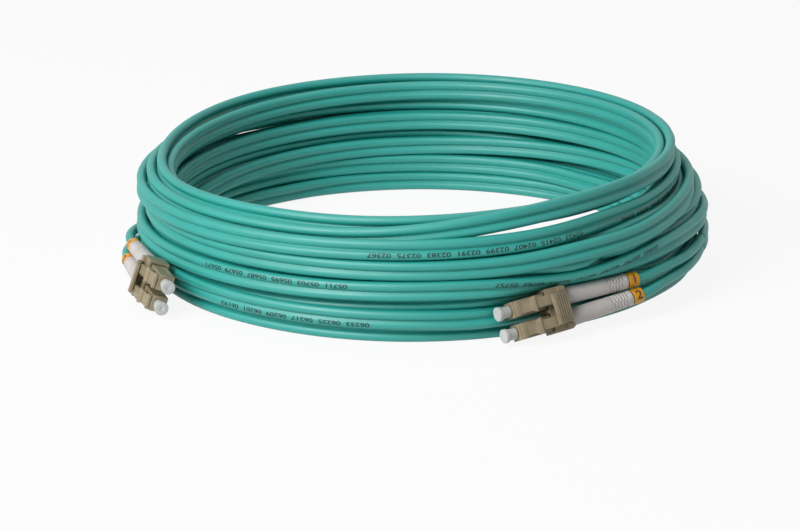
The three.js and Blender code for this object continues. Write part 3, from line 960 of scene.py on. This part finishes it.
# ---- plug housings ----------------------------------------------------------------------------
# The small square shell of each plug, moulded in beige: a closed-in front with a round hole for
# the ferrule, a keyway ahead of the latch, shallow grips on its sides and a slimmer neck behind.
def prism(points, low, high, across="y"):
    """A closed slab: a loop of points, in x and z or in x and y, carried from low to high."""
    def spot(a, b, level):
        return (a, level, b) if across == "y" else (a, b, level)

    count = len(points)
    spots = [spot(a, b, low) for a, b in points] + [spot(a, b, high) for a, b in points]
    faces = [tuple(range(count)), tuple(range(2 * count - 1, count - 1, -1))]
    faces += [(i, i + count, (i + 1) % count + count, (i + 1) % count) for i in range(count)]
    mesh = bpy.data.meshes.new("slab")
    mesh.from_pydata(spots, [], faces)
    return outwards_facing(mesh)


def outwards_facing(mesh):
    shape = bmesh.new()
    shape.from_mesh(mesh)
    bmesh.ops.recalc_face_normals(shape, faces=shape.faces)
    shape.to_mesh(mesh)
    shape.free()
    return mesh


def block(x0, x1, y0, y1, z0, z1):
    return prism(((x0, z0), (x1, z0), (x1, z1), (x0, z1)), y0, y1)


def rod(x0, x1, radius):
    """A round bar along x, used to bore holes."""
    shape = bmesh.new()
    turned = Matrix.Translation(((x0 + x1) / 2, 0.0, 0.0)) @ Matrix.Rotation(math.pi / 2, 4, "Y")
    bmesh.ops.create_cone(
        shape, cap_ends=True, segments=40, radius1=radius, radius2=radius, depth=x1 - x0, matrix=turned,
    )
    mesh = bpy.data.meshes.new("rod")
    shape.to_mesh(mesh)
    shape.free()
    return mesh


def moulded(name, added, cut, edge, finish, axes):
    """One moulding: slabs joined, then others cut away, with all its edges rounded a little."""
    holders = [set_out("part_of_" + name, mesh) for mesh in added + cut]
    first = holders[0]
    for k, holder in enumerate(holders[1:], 1):
        join = first.modifiers.new("join", "BOOLEAN")
        join.operation = "UNION" if k < len(added) else "DIFFERENCE"
        join.solver = "EXACT"
        join.object = holder
    rounding = first.modifiers.new("edge", "BEVEL")
    rounding.width = edge
    rounding.segments = 3
    rounding.limit_method = "ANGLE"
    rounding.angle_limit = math.radians(28.0)
    mesh = bpy.data.meshes.new_from_object(first.evaluated_get(bpy.context.evaluated_depsgraph_get()))
    for holder in holders:
        bpy.data.objects.remove(holder)
    mesh.name = name
    mesh.transform(Matrix.Translation(coil_centre) @ Matrix.Scale(0.001, 4) @ axes)
    mesh.polygons.foreach_set("use_smooth", [True] * len(mesh.polygons))
    mesh.set_sharp_from_angle(angle=math.radians(35.0))
    mesh.materials.clear()
    mesh.materials.append(finish)
    return set_out(name, mesh)


plug_length = 16.5
plug_half = 2.25
neck_half = 2.05
clip_length = 5.9
neck_front = -plug_length + clip_length + 0.3
front_wall = 2.4
grip_front, grip_rear = -3.2, -9.6
grip_half = 1.35
grip_depth = 0.12
keyway_front, keyway_rear = -2.2, -5.6
keyway_half = 1.5
keyway_floor = plug_half - 0.25
overshoot = 1.0

for tag in leg_routes:
    shell = [
        block(neck_front, 0.0, -plug_half, plug_half, -plug_half, plug_half),
        block(-plug_length, neck_front + 0.5, -neck_half, neck_half, -neck_half, neck_half),
    ]
    away = [
        rod(-plug_length - overshoot, -front_wall, bore_radius),
        rod(-front_wall - 0.5, overshoot, ferrule_radius + 0.4),
        block(keyway_rear, keyway_front, -keyway_half, keyway_half, keyway_floor, plug_half + overshoot),
    ]
    for side in (-1.0, 1.0):
        near, far = sorted((side * (plug_half - grip_depth), side * (plug_half + overshoot)))
        away.append(block(grip_rear, grip_front, near, far, -grip_half, grip_half))
    housing = moulded("plug_housing_" + tag + "_fine", shell, away, 0.09, beige_plastic, plug_frame(tag))
    stands_for(housing, "plug_housing_" + tag, "root")


# ---- latches ----------------------------------------------------------------------------------
# A springy tongue on top of each plug, rooted at its front. Behind the root lie a sunk panel and
# two pointed shoulders that lock in the socket, then a plain arm that runs back under the trigger.
latch_pivot = (-1.5, 0.0, 2.9)
arm_half = 1.4

for tag in leg_routes:
    tongue = prism((
        (1.0, -0.35), (1.0, 0.4), (-0.5, 0.6), (-9.6, 2.15), (-9.6, 1.4), (-0.5, -0.25),
    ), -arm_half, arm_half)
    neck = prism((
        (0.9, -0.3), (0.9, 0.42), (-0.5, 0.62), (-4.2, 1.25), (-4.2, 0.45), (-0.5, -0.2),
    ), -1.7, 1.7)
    root = prism(((1.3, -0.35), (1.3, 0.4), (0.1, 0.55), (0.1, -0.3)), -2.1, 2.1)
    barbs = prism((
        (-2.5, 1.5), (-4.45, 2.25), (-4.6, 2.2), (-4.6, -2.2), (-4.45, -2.25), (-2.5, -1.5),
    ), 0.6, 1.75, "z")
    slope = prism(((-2.0, 0.86), (-5.0, 1.93), (-5.0, 3.0), (-2.0, 3.0)), -3.0, 3.0)
    panel = prism(((-0.1, 0.4), (-3.1, 0.9), (-3.1, 2.2), (-0.1, 1.6)), -1.3, 1.3)
    arm = moulded("latch_" + tag + "_fine", [tongue, neck, root, barbs], [slope, panel], 0.07, beige_plastic,
                  plug_frame(tag) @ Matrix.Translation(latch_pivot))
    stands_for(arm, "latch_" + tag, "latch_" + tag)


# ---- dust caps --------------------------------------------------------------------------------
# A loose cap of pale soft plastic on each ferrule: a collar, a wider disc to pull it by, with the
# dimple of its moulding gate in the middle, and a blind bore that grips the ferrule.
white_cap = plain_finish("white_cap", "bdbfbe", "cacbc9", 0.42, 0.0004, 0.00002, 150.0)
cap_tip = 4.2
cap_disc_radius = 1.97
cap_collar_radius = 1.65
cap_disc_depth = 1.2
cap_bore = ferrule_radius + 0.3
cap_mouth = 0.3
dimple_depth = 0.12
shoulder = cap_tip - cap_disc_depth

for tag in leg_routes:
    cap = revolved("dust_cap_" + tag + "_fine", (
        (ferrule_tip + 0.3, 0.05), (ferrule_tip + 0.3, cap_bore), (cap_mouth, cap_bore),
        (cap_mouth, cap_collar_radius - 0.06), (shoulder, cap_collar_radius),
        (shoulder, cap_disc_radius - 0.03), (cap_tip, cap_disc_radius),
        (cap_tip, 0.62), (cap_tip - dimple_depth, 0.5), (cap_tip - dimple_depth, 0.05),
    ), 56, white_cap, plug_frame(tag), looped=False, ease=0.2)
    stands_for(cap, "dust_cap_" + tag, "dust_cap_" + tag)


# ---- duplex clips -----------------------------------------------------------------------------
# One beige block holds both plugs of an end side by side by their necks. It carries the trigger
# between two posts, and a web between the plugs stiffens it.
clip_half_width = 6.2
clip_half_height = 3.0
neck_hole = neck_half + 0.3
post_places = (-5.3, 5.3)
post_half = 0.6
post_length = 2.2
clip_rear = -plug_length
clip_front = clip_rear + clip_length
clip_top = clip_half_height

for end in "ab":
    added = [
        block(clip_rear, clip_front, -clip_half_width, clip_half_width, -clip_half_height + 0.25, clip_top),
        block(clip_front - 0.5, clip_front + 0.6, -0.5, 0.5, -clip_half_height + 0.3, clip_top - 0.2),
    ]
    cut = []
    for y in post_places:
        side = math.copysign(post_half, y)
        near, far = sorted((y - 1.35 * side, y + side))
        added.append(block(clip_rear, clip_rear + post_length, near, far, clip_top - 0.5, clip_top + 1.0))
    for y in (-plug_pitch / 2, plug_pitch / 2):
        near, far = y - neck_hole, y + neck_hole
        cut.append(block(clip_rear - overshoot, clip_front + overshoot, near, far, -neck_hole, neck_hole))
    clip = moulded("duplex_clip_" + end + "_fine", added, cut, 0.12, beige_plastic, connector_frame(end))
    stands_for(clip, "duplex_clip_" + end, "root")


# ---- triggers ---------------------------------------------------------------------------------
# A sprung thumb bar across both plugs: pressing it pushes both latches down. Five cross ribs give
# the thumb a grip, and its smooth nose lies over the latches' ends.
trigger_pivot = (-16.2, 0.0, 3.75)
trigger_half = 4.3
rib_count = 5
rib_pitch = 0.9
rib_rise = 0.29

for end in "ab":
    side_view = [(-0.4, -0.66), (-0.4, 0.55), (-0.05, 1.02)]
    for k in range(rib_count):
        x, z = k * rib_pitch, 1.15 + k * rib_rise
        side_view += [(x, z), (x + 0.5, z + 0.16), (x + 0.6, z - 0.12), (x + 0.82, z - 0.08)]
    side_view += [(4.55, 2.6), (5.6, 2.5), (5.6, 1.6), (4.6, 1.6), (0.9, 0.0), (0.4, -0.66)]
    bar = prism(side_view, -trigger_half, trigger_half)
    trigger = moulded("trigger_" + end + "_fine", [bar], [], 0.06, beige_plastic,
                      connector_frame(end) @ Matrix.Translation(trigger_pivot))
    stands_for(trigger, "trigger_" + end, "trigger_" + end)


# ---- studio -----------------------------------------------------------------------------------
# A pale table that runs back into a white sweep, with a soft lamp at the front left, a weak one
# overhead and a weak fill from all round. Both table and sweep look white to the lens, and to rays
# that reach them by way of something shiny or clear, but light the cord no more for that.
def clear_sight(board):
    """One for a ray that starts at the lens or comes by way of something shiny or clear, else zero."""
    rays = board.node("ShaderNodeLightPath")
    glossy, clear = board.wire(rays, "Is Glossy Ray"), board.wire(rays, "Is Transmission Ray")
    return board.wire(rays, "Is Camera Ray") + glossy + clear


white = (1.0, 1.0, 1.0, 1.0)
table_glow = 0.9
fill_level = 0.1

paper = Finish("paper", Base_Color=rgb("f4f4f4"), Roughness=0.9)
glow = paper.node("ShaderNodeEmission", {}, {"Color": white, "Strength": 1.0})
blend = paper.node("ShaderNodeMixShader", {}, {
    0: clear_sight(paper) * table_glow, 1: paper.wire(paper.skin, "BSDF"), 2: paper.wire(glow, "Emission"),
})
paper.feed(paper.tree.nodes["Material Output"].inputs["Surface"], paper.wire(blend, "Shader"))
table_mesh = bpy.data.meshes.new("table_top")
table_mesh.from_pydata([(-3, -2, 0), (3, -2, 0), (3, 6, 0), (-3, 6, 0)], [], [(0, 1, 2, 3)])
table_mesh.materials.append(paper.material)
table_top = set_out("table_top", table_mesh)

world = bpy.data.worlds.new("studio")
bpy.context.scene.world = world
world.use_nodes = True
sweep = Board(world.node_tree)
background = sweep.tree.nodes["Background"]
sweep.feed(background.inputs["Color"], white)
sweep.feed(background.inputs["Strength"], sweep.spread(clear_sight(sweep), fill_level, 1.0, 0.0, 1.0))


def lamp(name, place, size, power):
    """A round soft lamp that faces the middle of the table."""
    light = bpy.data.lights.new(name, "AREA")
    light.shape = "DISK"
    light.size = size
    light.energy = power
    holder = set_out(name, light)
    holder.location = place
    holder.rotation_euler = (-Vector(place)).to_track_quat("-Z", "Y").to_euler()


lamp("key", (-0.78, -0.84, 0.8), size=0.8, power=18.0)
lamp("overhead", (0.0, 0.3, 1.2), size=0.9, power=2.0)

bpy.context.scene.view_settings.view_transform = "Standard"
